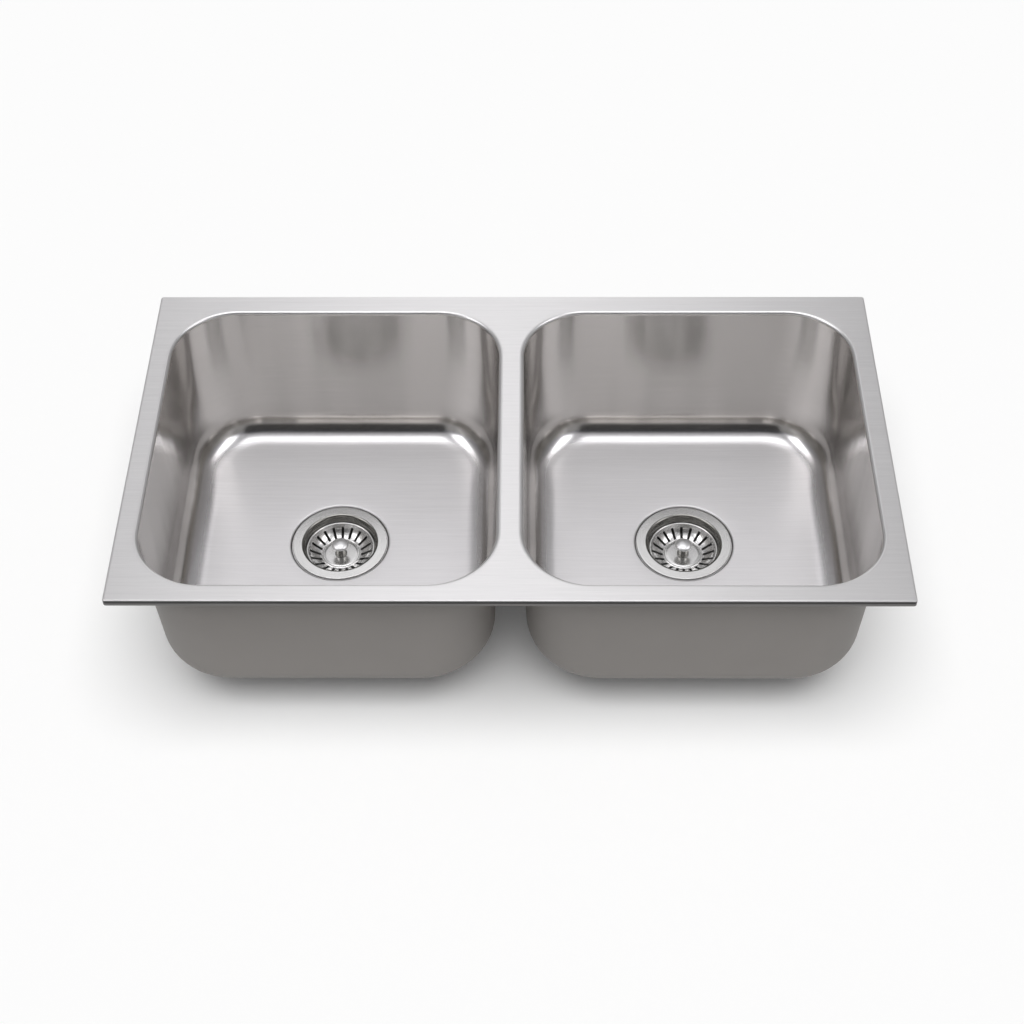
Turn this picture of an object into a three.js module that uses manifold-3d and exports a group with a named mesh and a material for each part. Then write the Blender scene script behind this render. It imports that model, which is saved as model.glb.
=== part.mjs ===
// Double bowl kitchen sink with two basket strainers.
// Millimetres, +Z up. The origin lies on the standing surface, under the middle of the deck.
import * as THREE from "three";
import { mergeVertices } from "three/addons/utils/BufferGeometryUtils.js";
import Module from "manifold-3d";

const wasm = await Module();
wasm.setup();

// ---------- driving dimensions ----------
const sheet = 1.0; // steel sheet of the deck and the bowls
const seatGap = 0.3; // clearance between pieces that rest on each other
const slideGap = 0.5; // clearance around pieces that lift out

// deck: flat ledges around the two openings, then the turned-down lip
const endLedge = 25;
const frontLedge = 24;
const backLedge = 30;
const bridgeWidth = 30; // between the two openings
const deckCornerRadius = 6;
const lipDepth = 8;
const lipBend = 2.5;
const neckDepth = 10;
const neckBend = 4;

// bowls
const bowlLength = 392;
const bowlWidth = 428;
const bowlCornerRadius = 75;
const bowlDepth = 196; // deck top to the start of the sloping floor
const wallDraft = 4;
const floorFillet = 37;
const filletCornerRadius = 84; // plan radius of the corners where the floor fillet starts
const floorFall = 1.5; // towards the drain

// drain recess pressed into the floor
const drainBackward = 15; // drain axis from the bowl's middle, towards the back
const recessDepth = 2.8;
const recessRoll = 2.4;
const recessHollow = 1.4;
const recessClearance = 0.8;
const drainHoleClearance = 2.1; // around the thread of the cup

// sound damping pad
const padThickness = 2.5;
const padOuterBlend = 0.12; // share of the way from the floor's edge to the recess
const padInnerBlend = 0.86;

// strainer body, from the cup outwards; heights below the top of its flange
const cupRadius = 41;
const cupWall = 2.4;
const cupThreadStart = 8.3;
const basketSeatWidth = 1.3;
const basketSeatDepth = 10.6;
const throatTaper = 1.2; // how much wider the throat gets from the seat to its roll
const throatRoll = 3.5;
const flangeWidth = 11.3; // outside the roll
const flangeThickness = 1.2;
const flangeEdgeRound = 0.5;
const cupDepth = 31;
const cupHollow = 4;
const cupFloor = 2;
const outletBore = 19.5;
const outletWall = 4.4;
const outletLength = 17;
const outletChamfer = 1; // around the top of the outlet's bore

// seals and nuts
const flangeSealStep = 2; // from the throat's roll to the seal
const flangeSealInset = 1.3; // from the flange's edge
const gasketClearance = 1.8; // around the thread of the cup
const gasketWidth = 8.8;
const gasketThickness = 3;
const frictionRingInset = 1; // from the gasket's edge
const frictionRingThickness = 1;
const lockNutWall = 7.6;
const lockNutHeight = 11;
const lockNutLugs = 6;
const lockNutLugReach = 4;
const lockNutLugWidth = 13;
const tailWasherStep = 0.5; // from the outlet's bore to the washer
const tailWasherThickness = 2.5;
const couplingNutWall = 5.1;
const couplingNutHeight = 18;
const couplingNutShoulder = 3;
const couplingNutLugs = 6;
const couplingNutLugReach = 2;
const couplingNutLugWidth = 8;

// basket
const basketSheet = 0.8;
const basketRimLand = 1.4;
const basketWallHeight = 6;
const basketWallLean = 2.4;
const basketFloorRadius = 26.5;
const basketConeFall = 6.5;
const slotCount = 20;
const slotWidth = 2.6;
const slotEndMargin = 0.9;
const plateMargin = 0.5; // from the foot of the slotted cone
const plateThickness = 1.0;
const plateBeadInset = 1.4; // from the plate's edge
const plateBeadHeight = 0.9;
const plateGrooveInset = 3.6;
const plateGrooveDepth = 0.35;
const plateGrooveWidth = 2;
const stemRadius = 3;
const knobHeadRadius = 10.6;
const knobNeckRadius = 4.9;
const knobBaseRadius = 9.2;
const knobBaseHeight = 2.2;
const knobNeckHeight = 8.6;
const knobHeight = 16;
const knobHeadSlope = 3.6; // height of the cone under the head
const knobNeckFlare = 1.6;
const knobSocketDepth = 8;
const stopperRadius = 27;
const stopperWaistInset = 3;
const stopperTopInset = 6;
const stopperLipHeight = 1.2;
const stemNutFlats = 10;
const stemNutHeight = 4;
const stemEnd = 1.5; // thread past the nut

// how finely round shapes are divided
const bowlCornerSteps = 7;
const deckCornerSteps = 3;
const bendSteps = 3;
const hiddenBendSteps = 2; // bends that lie under the sheet or under the basket
const recessSteps = 2;
const filletSteps = 4;
const domeSteps = 3;
const lugGapSteps = 3;
const bodySegments = 30;
const ringSegments = 20;
const knobSegments = 20;
const stemSegments = 12;
const hexagonSides = 6;

// ---------- sizes worked out from them ----------
const bowlSpacing = bowlLength + bridgeWidth; // centre to centre
const deckLength = 2 * endLedge + bowlLength + bowlSpacing;
const deckWidth = frontLedge + bowlWidth + backLedge;
const bowlForward = (backLedge - frontLedge) / 2; // from the middle of the deck
const cupThreadRadius = cupRadius + cupWall;
const basketSeatRadius = cupRadius + basketSeatWidth;
const throatRadius = basketSeatRadius + throatTaper + throatRoll;
const flangeRadius = throatRadius + flangeWidth;
const drainHoleRadius = cupThreadRadius + drainHoleClearance;
const outletRadius = outletBore + outletWall;
const flangeSealThickness = recessDepth - flangeThickness - 2 * seatGap;
const gasketInner = cupThreadRadius + gasketClearance;
const gasketOuter = gasketInner + gasketWidth;
const tailWasherInner = outletBore + tailWasherStep;
const recessRadius = flangeRadius + recessClearance;
const recessWallTurn = Math.acos(1 - recessDepth / (recessRoll + recessHollow));
const recessMouthRadius = recessRadius + (recessRoll + recessHollow) * Math.sin(recessWallTurn);
const floorLevel = -bowlDepth - floorFall; // also the top of the flange
const gasketTop = -recessDepth - sheet - seatGap;
const frictionRingTop = gasketTop - gasketThickness - seatGap;
const lockNutTop = frictionRingTop - frictionRingThickness - seatGap;
const outletEnd = -cupDepth - outletLength - cupFloor;
const tailWasherTop = outletEnd - seatGap;
const shoulderTop = tailWasherTop - tailWasherThickness - seatGap;
const couplingNutBottom = shoulderTop - couplingNutShoulder;
const standHeight = -(floorLevel + couplingNutBottom);
const basketRimRadius = basketSeatRadius - slideGap;
const basketRimBottom = -basketSeatDepth + seatGap;
const basketWallTop = cupRadius - seatGap; // outer face of the basket wall under its rim
const basketWallBottom = basketWallTop - basketWallLean;
const basketWallEnd = basketRimBottom - basketWallHeight;
const basketFloorTop = basketWallEnd - basketConeFall + basketSheet;
const plateRadius = basketFloorRadius - plateMargin;
const plateBottom = basketFloorTop + seatGap;
const plateTop = plateBottom + plateThickness;
const knobBottom = plateTop + seatGap;
const stemHole = stemRadius + seatGap;
const stopperTop = basketFloorTop - basketSheet - seatGap;
const stopperBottom = -cupDepth + seatGap;
const stemNutTop = stopperBottom - seatGap;
const stemNutBottom = stemNutTop - stemNutHeight;

// ---------- materials ----------
const brushedSteel = { color: 0xc9c9ca, roughness: 0.38, metalness: 1.0 };
const polishedSteel = { color: 0xd9d9da, roughness: 0.18, metalness: 1.0 };
const blackRubber = { color: 0x202124, roughness: 0.85, metalness: 0.0 };
const greyPad = { color: 0x55565a, roughness: 0.95, metalness: 0.0 };
const fibre = { color: 0x8a6a48, roughness: 0.9, metalness: 0.0 };
const brass = { color: 0xb9a064, roughness: 0.45, metalness: 1.0 };
const whitePlastic = { color: 0xe4e4e0, roughness: 0.5, metalness: 0.0 };

// ---------- shape helpers ----------
function named(name, geometry, look) {
  const mesh = new THREE.Mesh(geometry, new THREE.MeshStandardMaterial(look));
  mesh.name = name;
  return mesh;
}

// Corner arcs of a rounded rectangle, anticlockwise from +X.
function rectangleLoop(halfX, halfY, corner, steps) {
  const points = [];
  for (let quarter = 0; quarter < 4; quarter += 1) {
    const signX = quarter === 0 || quarter === 3 ? 1 : -1;
    const signY = quarter < 2 ? 1 : -1;
    for (let step = 0; step <= steps; step += 1) {
      const angle = ((quarter + step / steps) * Math.PI) / 2;
      const x = signX * (halfX - corner) + corner * Math.cos(angle);
      const y = signY * (halfY - corner) + corner * Math.sin(angle);
      points.push(new THREE.Vector2(x, y));
    }
  }
  return points;
}

// A circle with as many points as a rounded rectangle of the same steps.
function circleLoop(radius, steps) {
  const points = [];
  const count = 4 * (steps + 1);
  for (let index = 0; index < count; index += 1) {
    const angle = ((index + 0.5) / count) * 2 * Math.PI;
    points.push(new THREE.Vector2(radius * Math.cos(angle), radius * Math.sin(angle)));
  }
  return points;
}

function atHeight(loop, z, shiftX = 0, shiftY = 0) {
  return loop.map((point) => new THREE.Vector3(point.x + shiftX, point.y + shiftY, z));
}

function mixLoops(from, to, share) {
  return from.map((point, index) => point.clone().lerp(to[index], share));
}

// Closed skin through a ring of loops; the last loop joins the first one.
function loftRing(loops) {
  const count = loops[0].length;
  const positions = [];
  const indices = [];
  for (const loop of loops) {
    for (const point of loop) positions.push(point.x, point.y, point.z);
  }
  for (let ring = 0; ring < loops.length; ring += 1) {
    const nextRing = (ring + 1) % loops.length;
    for (let index = 0; index < count; index += 1) {
      const nextIndex = (index + 1) % count;
      const a = ring * count + index;
      const b = ring * count + nextIndex;
      const c = nextRing * count + nextIndex;
      const d = nextRing * count + index;
      indices.push(a, b, c, a, c, d);
    }
  }
  const geometry = new THREE.BufferGeometry();
  geometry.setAttribute("position", new THREE.Float32BufferAttribute(positions, 3));
  geometry.setIndex(signedVolume(positions, indices) < 0 ? flipped(indices) : indices);
  return geometry;
}

function signedVolume(positions, indices) {
  const corner = (index) => new THREE.Vector3().fromArray(positions, 3 * index);
  let volume = 0;
  for (let index = 0; index < indices.length; index += 3) {
    const normal = corner(indices[index + 1]).cross(corner(indices[index + 2]));
    volume += corner(indices[index]).dot(normal) / 6;
  }
  return volume;
}

function flipped(indices) {
  const turned = [];
  for (let index = 0; index < indices.length; index += 3) {
    turned.push(indices[index], indices[index + 2], indices[index + 1]);
  }
  return turned;
}

// Revolved solid; the profile runs anticlockwise in (radius, height).
function revolve(profile, segments) {
  const points = profile.map(([radius, height]) => new THREE.Vector2(radius, height));
  const onAxis = profile[0][0] === 0 && profile[profile.length - 1][0] === 0;
  if (!onAxis) points.push(points[0].clone());
  const geometry = new THREE.LatheGeometry(points, segments);
  geometry.rotateX(Math.PI / 2);
  return geometry;
}

function washer(inner, outer, top, thickness, segments) {
  const bottom = top - thickness;
  return revolve([[inner, bottom], [outer, bottom], [outer, top], [inner, top]], segments);
}

// Points of an arc in (radius, height); angles in radians from the +radius direction.
function arcPoints(centre, radius, from, to, steps) {
  const points = [];
  for (let step = 0; step <= steps; step += 1) {
    const angle = from + ((to - from) * step) / steps;
    points.push([centre[0] + radius * Math.cos(angle), centre[1] + radius * Math.sin(angle)]);
  }
  return points;
}

function toSolid(geometry) {
  const bare = geometry.clone();
  bare.deleteAttribute("normal");
  bare.deleteAttribute("uv");
  const merged = mergeVertices(bare, 1e-4);
  const mesh = new wasm.Mesh({
    numProp: 3,
    vertProperties: new Float32Array(merged.attributes.position.array),
    triVerts: new Uint32Array(merged.index.array),
  });
  return new wasm.Manifold(mesh);
}

function toGeometry(solid) {
  const mesh = solid.getMesh();
  const geometry = new THREE.BufferGeometry();
  geometry.setAttribute("position", new THREE.Float32BufferAttribute(mesh.vertProperties, 3));
  geometry.setIndex(Array.from(mesh.triVerts));
  return geometry;
}

function extrude(outline, holes, bottom, height) {
  const shape = new THREE.Shape(outline);
  for (const hole of holes) shape.holes.push(new THREE.Path(hole));
  const geometry = new THREE.ExtrudeGeometry(shape, { depth: height, bevelEnabled: false });
  geometry.translate(0, 0, bottom);
  return geometry;
}

// ---------- deck ----------
// Sheet edge that bends down from the deck, as a band that follows a rounded rectangle.
// Inward is 1 where the band lies inside the rectangle (lip) and -1 where around it (neck).
function bentEdge({ halfX, halfY, corner, cornerSteps, inward, bend, depth, shiftX, shiftY }) {
  const outerArc = arcPoints([bend, -bend], bend, Math.PI, Math.PI / 2, bendSteps);
  const innerArc = arcPoints([bend, -bend], bend - sheet, Math.PI / 2, Math.PI, hiddenBendSteps);
  const profile = [[0, -depth], ...outerArc, ...innerArc, [sheet, -depth]];
  const loops = profile.map(([inset, z]) => {
    const step = inward * inset;
    const loop = rectangleLoop(halfX - step, halfY - step, corner - step, cornerSteps);
    return atHeight(loop, z, shiftX, shiftY);
  });
  return loftRing(loops);
}

function lipEdge() {
  return bentEdge({
    halfX: deckLength / 2,
    halfY: deckWidth / 2,
    corner: deckCornerRadius,
    cornerSteps: deckCornerSteps,
    inward: 1,
    bend: lipBend,
    depth: lipDepth,
    shiftX: 0,
    shiftY: 0,
  });
}

function neckEdge(side) {
  return bentEdge({
    halfX: bowlLength / 2,
    halfY: bowlWidth / 2,
    corner: bowlCornerRadius,
    cornerSteps: bowlCornerSteps,
    inward: -1,
    bend: neckBend,
    depth: neckDepth,
    shiftX: (side * bowlSpacing) / 2,
    shiftY: -bowlForward,
  });
}

function deckGeometry() {
  const flatX = deckLength / 2 - lipBend;
  const flatY = deckWidth / 2 - lipBend;
  const outline = rectangleLoop(flatX, flatY, deckCornerRadius - lipBend, deckCornerSteps);
  const openX = bowlLength / 2 + neckBend;
  const openY = bowlWidth / 2 + neckBend;
  const opening = rectangleLoop(openX, openY, bowlCornerRadius + neckBend, bowlCornerSteps);
  const holes = [-1, 1].map((side) =>
    opening.map((p) => new THREE.Vector2(p.x + (side * bowlSpacing) / 2, p.y - bowlForward)),
  );
  let deck = toSolid(extrude(outline, holes, -sheet, sheet));
  for (const edge of [lipEdge(), neckEdge(-1), neckEdge(1)]) deck = deck.add(toSolid(edge));
  return toGeometry(deck);
}

// ---------- bowls ----------
// Stations of the bowl's inner face, from the rim to the drain hole. Lean is the direction of
// the outer side: 0 straight out, a quarter turn straight down.
function wallStations() {
  const down = Math.PI / 2;
  const filletTop = -(bowlDepth - floorFillet);
  const stations = [{ inset: 0, corner: bowlCornerRadius, z: -neckDepth, lean: 0 }];
  for (let step = 0; step <= filletSteps; step += 1) {
    const lean = (down * step) / filletSteps;
    const inset = wallDraft + floorFillet * (1 - Math.cos(lean));
    const corner = Math.max(filletCornerRadius - (inset - wallDraft), sheet);
    stations.push({ inset, corner, z: filletTop - floorFillet * Math.sin(lean), lean });
  }
  return stations;
}

function recessStations() {
  const down = Math.PI / 2;
  const rollTop = { radius: recessMouthRadius, z: floorLevel };
  const stations = [];
  for (let step = 0; step <= recessSteps; step += 1) {
    const turn = (recessWallTurn * step) / recessSteps;
    const radius = rollTop.radius - recessRoll * Math.sin(turn);
    const z = rollTop.z - recessRoll * (1 - Math.cos(turn));
    stations.push({ radius, z, lean: down - turn });
  }
  for (let step = 1; step <= recessSteps; step += 1) {
    const turn = recessWallTurn * (1 - step / recessSteps);
    const radius = recessRadius + recessHollow * Math.sin(turn);
    const z = floorLevel - recessDepth + recessHollow * (1 - Math.cos(turn));
    stations.push({ radius, z, lean: down - turn });
  }
  stations.push({ radius: drainHoleRadius, z: floorLevel - recessDepth, lean: down });
  return stations;
}

function wallLoop(station, offset) {
  const out = offset * Math.cos(station.lean);
  const z = station.z - offset * Math.sin(station.lean);
  const halfX = bowlLength / 2 - station.inset + out;
  const halfY = bowlWidth / 2 - station.inset + out;
  return atHeight(rectangleLoop(halfX, halfY, station.corner + out, bowlCornerSteps), z);
}

function recessLoop(station, offset) {
  const radius = station.radius + offset * Math.cos(station.lean);
  const z = station.z - offset * Math.sin(station.lean);
  return atHeight(circleLoop(radius, bowlCornerSteps), z, 0, drainBackward);
}

// Loop on the sloping floor, from its edge (0) to the mouth of the recess (1).
function floorLoop(share, offset) {
  const stations = wallStations();
  const edge = wallLoop(stations[stations.length - 1], offset);
  return mixLoops(edge, recessLoop(recessStations()[0], offset), share);
}

function bowlGeometry() {
  const skins = [0, sheet].map((offset) => [
    ...wallStations().map((station) => wallLoop(station, offset)),
    ...recessStations().map((station) => recessLoop(station, offset)),
  ]);
  return loftRing([...skins[0], ...skins[1].reverse()]);
}

function padGeometry() {
  const top = sheet + seatGap;
  const loops = [
    floorLoop(padOuterBlend, top),
    floorLoop(padInnerBlend, top),
    floorLoop(padInnerBlend, top + padThickness),
    floorLoop(padOuterBlend, top + padThickness),
  ];
  return loftRing(loops);
}

// ---------- strainer body, seals and nuts; heights from the top of the flange ----------
function strainerBodyGeometry() {
  const quarter = Math.PI / 2;
  const rollCentre = [throatRadius, -throatRoll];
  const hollowCentre = [cupRadius - cupHollow, -cupDepth + cupHollow];
  const cupBottom = -cupDepth - cupFloor;
  const flangeEdge = flangeRadius - flangeEdgeRound;
  const underRoll = throatRoll - flangeThickness;
  const profile = [
    [outletBore, outletEnd],
    [outletRadius, outletEnd],
    [outletRadius, cupBottom],
    [cupThreadRadius - cupHollow, cupBottom],
    [cupThreadRadius, cupBottom + cupHollow],
    [cupThreadRadius, -cupThreadStart],
    ...arcPoints(rollCentre, underRoll, 2 * quarter, quarter, hiddenBendSteps),
    [flangeRadius, -flangeThickness],
    [flangeRadius, -flangeEdgeRound],
    [flangeEdge, 0],
    ...arcPoints(rollCentre, throatRoll, quarter, 2 * quarter, bendSteps),
    [basketSeatRadius, -basketSeatDepth],
    [cupRadius, -basketSeatDepth],
    ...arcPoints(hollowCentre, cupHollow, 0, -quarter, hiddenBendSteps),
    [outletBore + outletChamfer, -cupDepth],
    [outletBore, -cupDepth - outletChamfer],
  ];
  return revolve(profile, bodySegments);
}

// Outline of a ring nut with square lugs around it.
function luggedOutline(radius, reach, width, count) {
  const half = Math.asin(width / 2 / radius);
  const outline = [];
  for (let lug = 0; lug < count; lug += 1) {
    const middle = ((lug + 0.5) * 2 * Math.PI) / count;
    const outerHalf = Math.asin(width / 2 / (radius + reach));
    const corners = [
      [radius, -half],
      [radius + reach, -outerHalf],
      [radius + reach, outerHalf],
      [radius, half],
    ];
    for (const [distance, turn] of corners) {
      const angle = middle + turn;
      outline.push(new THREE.Vector2(distance * Math.cos(angle), distance * Math.sin(angle)));
    }
    for (let step = 1; step < lugGapSteps; step += 1) {
      const gap = (2 * Math.PI) / count - 2 * half;
      const angle = middle + half + (gap * step) / lugGapSteps;
      outline.push(new THREE.Vector2(radius * Math.cos(angle), radius * Math.sin(angle)));
    }
  }
  return outline;
}

function roundHole(radius, segments) {
  const points = [];
  for (let index = 0; index < segments; index += 1) {
    const angle = (index / segments) * 2 * Math.PI;
    points.push(new THREE.Vector2(radius * Math.cos(angle), radius * Math.sin(angle)));
  }
  return points;
}

function lockNutGeometry() {
  const outer = cupThreadRadius + lockNutWall;
  const outline = luggedOutline(outer, lockNutLugReach, lockNutLugWidth, lockNutLugs);
  const hole = roundHole(cupThreadRadius + seatGap, bodySegments);
  return extrude(outline, [hole], lockNutTop - lockNutHeight, lockNutHeight);
}

function couplingNutGeometry() {
  const outline = luggedOutline(
    outletRadius + couplingNutWall,
    couplingNutLugReach,
    couplingNutLugWidth,
    couplingNutLugs,
  );
  const threadHole = roundHole(outletRadius + seatGap, ringSegments);
  const pipeHole = roundHole(tailWasherInner + seatGap, ringSegments);
  const sleeveHeight = couplingNutHeight - couplingNutShoulder;
  const sleeve = extrude(outline, [threadHole], shoulderTop, sleeveHeight);
  const shoulder = extrude(outline, [pipeHole], couplingNutBottom, couplingNutShoulder);
  return toGeometry(toSolid(sleeve).add(toSolid(shoulder)));
}

function flangeSealGeometry() {
  const inner = throatRadius + flangeSealStep;
  const outer = flangeRadius - flangeSealInset;
  return washer(inner, outer, -flangeThickness - seatGap, flangeSealThickness, ringSegments);
}

function gasketGeometry() {
  return washer(gasketInner, gasketOuter, gasketTop, gasketThickness, ringSegments);
}

function frictionRingGeometry() {
  const outer = gasketOuter - frictionRingInset;
  const thickness = frictionRingThickness;
  return washer(gasketInner, outer, frictionRingTop, thickness, ringSegments);
}

function tailWasherGeometry() {
  const outer = outletRadius;
  return washer(tailWasherInner, outer, tailWasherTop, tailWasherThickness, ringSegments);
}

// ---------- basket ----------
// Pressed shell: rim, leaning wall, slotted cone and flat middle with the stem hole.
function basketShellGeometry() {
  const rimTop = basketRimBottom + basketSheet;
  const underside = [
    [stemHole, basketFloorTop - basketSheet],
    [basketFloorRadius, basketFloorTop - basketSheet],
    [basketWallBottom, basketWallEnd],
    [basketWallTop, basketRimBottom],
    [basketRimRadius, basketRimBottom],
  ];
  const upper = [
    [basketRimRadius, rimTop],
    [basketWallTop - basketRimLand, rimTop],
    [basketWallBottom - basketSheet, basketWallEnd + basketSheet],
    [basketFloorRadius - basketSheet / 2, basketFloorTop],
    [stemHole, basketFloorTop],
  ];
  const shell = toSolid(revolve([...underside, ...upper], bodySegments));
  return toGeometry(shell.subtract(slotCutters()));
}

// Radial slots through the sloping part of the basket.
function slotCutters() {
  const start = basketFloorRadius + slotEndMargin;
  const end = basketWallBottom - slotEndMargin;
  const height = basketConeFall + 2 * basketWallHeight; // through the cone at any slope
  let cutters = null;
  for (let slot = 0; slot < slotCount; slot += 1) {
    const box = new THREE.BoxGeometry(end - start, slotWidth, height);
    box.translate((start + end) / 2, 0, basketWallEnd - basketConeFall / 2);
    box.rotateZ((slot / slotCount) * 2 * Math.PI);
    cutters = cutters === null ? toSolid(box) : cutters.add(toSolid(box));
  }
  return cutters;
}

function plateGeometry() {
  const groove = plateRadius - plateGrooveInset;
  const profile = [
    [stemHole, plateBottom],
    [plateRadius, plateBottom],
    [plateRadius, plateTop],
    [plateRadius - plateBeadInset, plateTop + plateBeadHeight],
    [groove, plateTop - plateGrooveDepth],
    [groove - plateGrooveWidth, plateTop],
    [stemHole, plateTop],
  ];
  return revolve(profile, bodySegments);
}

function knobGeometry() {
  const socketTop = knobBottom + knobSocketDepth;
  const headStart = knobBottom + knobNeckHeight;
  const headEdge = headStart + knobHeadSlope;
  const domeRise = knobHeight - knobNeckHeight - knobHeadSlope;
  const dome = [];
  for (let step = 0; step < domeSteps; step += 1) {
    const angle = ((step / domeSteps) * Math.PI) / 2;
    dome.push([knobHeadRadius * Math.cos(angle), headEdge + domeRise * Math.sin(angle)]);
  }
  const profile = [
    [0, socketTop],
    [stemHole, socketTop],
    [stemHole, knobBottom],
    [knobBaseRadius, knobBottom],
    [knobBaseRadius, knobBottom + knobBaseHeight / 2],
    [knobNeckRadius + knobNeckFlare, knobBottom + knobBaseHeight],
    [knobNeckRadius, knobBottom + knobBaseHeight + knobNeckFlare],
    [knobNeckRadius, headStart],
    ...dome,
    [0, headEdge + domeRise],
  ];
  return revolve(profile, knobSegments);
}

function stemGeometry() {
  const top = knobBottom + knobSocketDepth - seatGap;
  const bottom = stemNutBottom - stemEnd;
  const profile = [[0, bottom], [stemRadius, bottom], [stemRadius, top], [0, top]];
  return revolve(profile, stemSegments);
}

function stopperGeometry() {
  const middle = (stopperTop + stopperBottom) / 2;
  const profile = [
    [stemHole, stopperBottom],
    [stopperRadius, stopperBottom],
    [stopperRadius, stopperBottom + stopperLipHeight],
    [stopperRadius - stopperWaistInset, middle],
    [stopperRadius - stopperTopInset, stopperTop],
    [stemHole, stopperTop],
  ];
  return revolve(profile, ringSegments);
}

function stemNutGeometry() {
  const cornerRadius = stemNutFlats / Math.sqrt(3);
  const hole = roundHole(stemHole, stemSegments);
  return extrude(roundHole(cornerRadius, hexagonSides), [hole], stemNutBottom, stemNutHeight);
}

// ---------- assembly ----------
function basketGroup(prefix) {
  const basket = new THREE.Group();
  basket.add(named(`${prefix}_basket_shell`, basketShellGeometry(), polishedSteel));
  basket.add(named(`${prefix}_basket_plate`, plateGeometry(), polishedSteel));
  basket.add(named(`${prefix}_basket_knob`, knobGeometry(), polishedSteel));
  basket.add(named(`${prefix}_basket_stem`, stemGeometry(), polishedSteel));
  basket.add(named(`${prefix}_stopper`, stopperGeometry(), blackRubber));
  basket.add(named(`${prefix}_stem_nut`, stemNutGeometry(), brass));
  return basket;
}

function strainerGroup(prefix) {
  const strainer = new THREE.Group();
  strainer.add(named(`${prefix}_strainer_body`, strainerBodyGeometry(), polishedSteel));
  strainer.add(named(`${prefix}_flange_seal`, flangeSealGeometry(), blackRubber));
  strainer.add(named(`${prefix}_gasket`, gasketGeometry(), blackRubber));
  strainer.add(named(`${prefix}_friction_ring`, frictionRingGeometry(), fibre));
  strainer.add(named(`${prefix}_lock_nut`, lockNutGeometry(), brass));
  strainer.add(named(`${prefix}_tail_washer`, tailWasherGeometry(), whitePlastic));
  strainer.add(named(`${prefix}_coupling_nut`, couplingNutGeometry(), brass));
  strainer.add(basketGroup(prefix));
  return strainer;
}

function bowlGroup(prefix) {
  const bowl = new THREE.Group();
  bowl.add(named(`${prefix}_bowl`, bowlGeometry(), brushedSteel));
  bowl.add(named(`${prefix}_sound_pad`, padGeometry(), greyPad));
  const strainer = strainerGroup(prefix);
  strainer.position.set(0, drainBackward, floorLevel);
  bowl.add(strainer);
  return bowl;
}

const sink = new THREE.Group();
sink.position.z = standHeight;
sink.add(named("deck", deckGeometry(), brushedSteel));
for (const [prefix, side] of [["left", -1], ["right", 1]]) {
  const bowl = bowlGroup(prefix);
  bowl.position.set((side * bowlSpacing) / 2, -bowlForward, 0);
  sink.add(bowl);
}

export default sink;
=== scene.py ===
import math

import bmesh
import bpy
from mathutils import Matrix, Vector
from mathutils.geometry import tessellate_polygon


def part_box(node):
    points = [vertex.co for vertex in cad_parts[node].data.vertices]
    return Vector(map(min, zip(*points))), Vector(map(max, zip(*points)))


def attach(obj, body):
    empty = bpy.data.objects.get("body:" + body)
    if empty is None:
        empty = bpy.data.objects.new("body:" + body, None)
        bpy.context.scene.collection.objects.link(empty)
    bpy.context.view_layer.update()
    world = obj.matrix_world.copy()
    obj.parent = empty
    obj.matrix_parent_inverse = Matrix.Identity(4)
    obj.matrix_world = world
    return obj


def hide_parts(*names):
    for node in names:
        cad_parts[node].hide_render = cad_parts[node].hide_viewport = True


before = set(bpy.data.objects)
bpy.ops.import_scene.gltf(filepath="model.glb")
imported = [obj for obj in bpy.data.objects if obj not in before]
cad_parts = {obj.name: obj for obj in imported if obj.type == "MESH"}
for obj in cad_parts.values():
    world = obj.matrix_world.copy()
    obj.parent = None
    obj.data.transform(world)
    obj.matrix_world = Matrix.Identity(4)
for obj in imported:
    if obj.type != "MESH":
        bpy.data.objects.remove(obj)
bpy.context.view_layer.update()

MM = 0.001

# ---------- places that come from the frame ----------
DECK_LOW, DECK_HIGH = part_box("deck")
BOWL_LOW, BOWL_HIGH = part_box("left_bowl")
BODY_LOW, BODY_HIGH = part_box("left_strainer_body")
SHELL_LOW, SHELL_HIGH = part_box("left_basket_shell")
PLATE_LOW, PLATE_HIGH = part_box("left_basket_plate")
KNOB_LOW, KNOB_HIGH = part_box("left_basket_knob")
STOPPER_LOW, STOPPER_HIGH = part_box("left_stopper")

# ---------- sizes shared with the solids ----------
SHEET = 1.0 * MM
SEAT_GAP = 0.3 * MM
HOLDING = 1.2 * MM  # flat band that keeps a bend's shading off the flat sheet

DECK_TOP = DECK_HIGH.z
NECK_BOTTOM = DECK_LOW.z
DECK_CORNER = 3.5 * MM
LIP_DEPTH = 8 * MM
LIP_BEND = 1.3 * MM
LIP_SPLIT = 0.58  # share of the lip's depth at which its shadow line ends
NECK_BEND = 4 * MM

BOWL_HALF_X = (BOWL_HIGH.x - BOWL_LOW.x) / 2 - SHEET
BOWL_HALF_Y = (BOWL_HIGH.y - BOWL_LOW.y) / 2 - SHEET
BOWL_CENTRE_X = -(BOWL_HIGH.x + BOWL_LOW.x) / 2  # of the right bowl; the left one mirrors it
BOWL_CENTRE_Y = (BOWL_HIGH.y + BOWL_LOW.y) / 2
BOWL_CORNER = 75 * MM
FILLET_CORNER = 84 * MM
WALL_DRAFT = 4 * MM
DRAFT_EASE = 0.4  # share of the wall over which it bends from upright to its draft
FLOOR_FILLET = 37 * MM
FLOOR_FALL = 1.5 * MM

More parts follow.
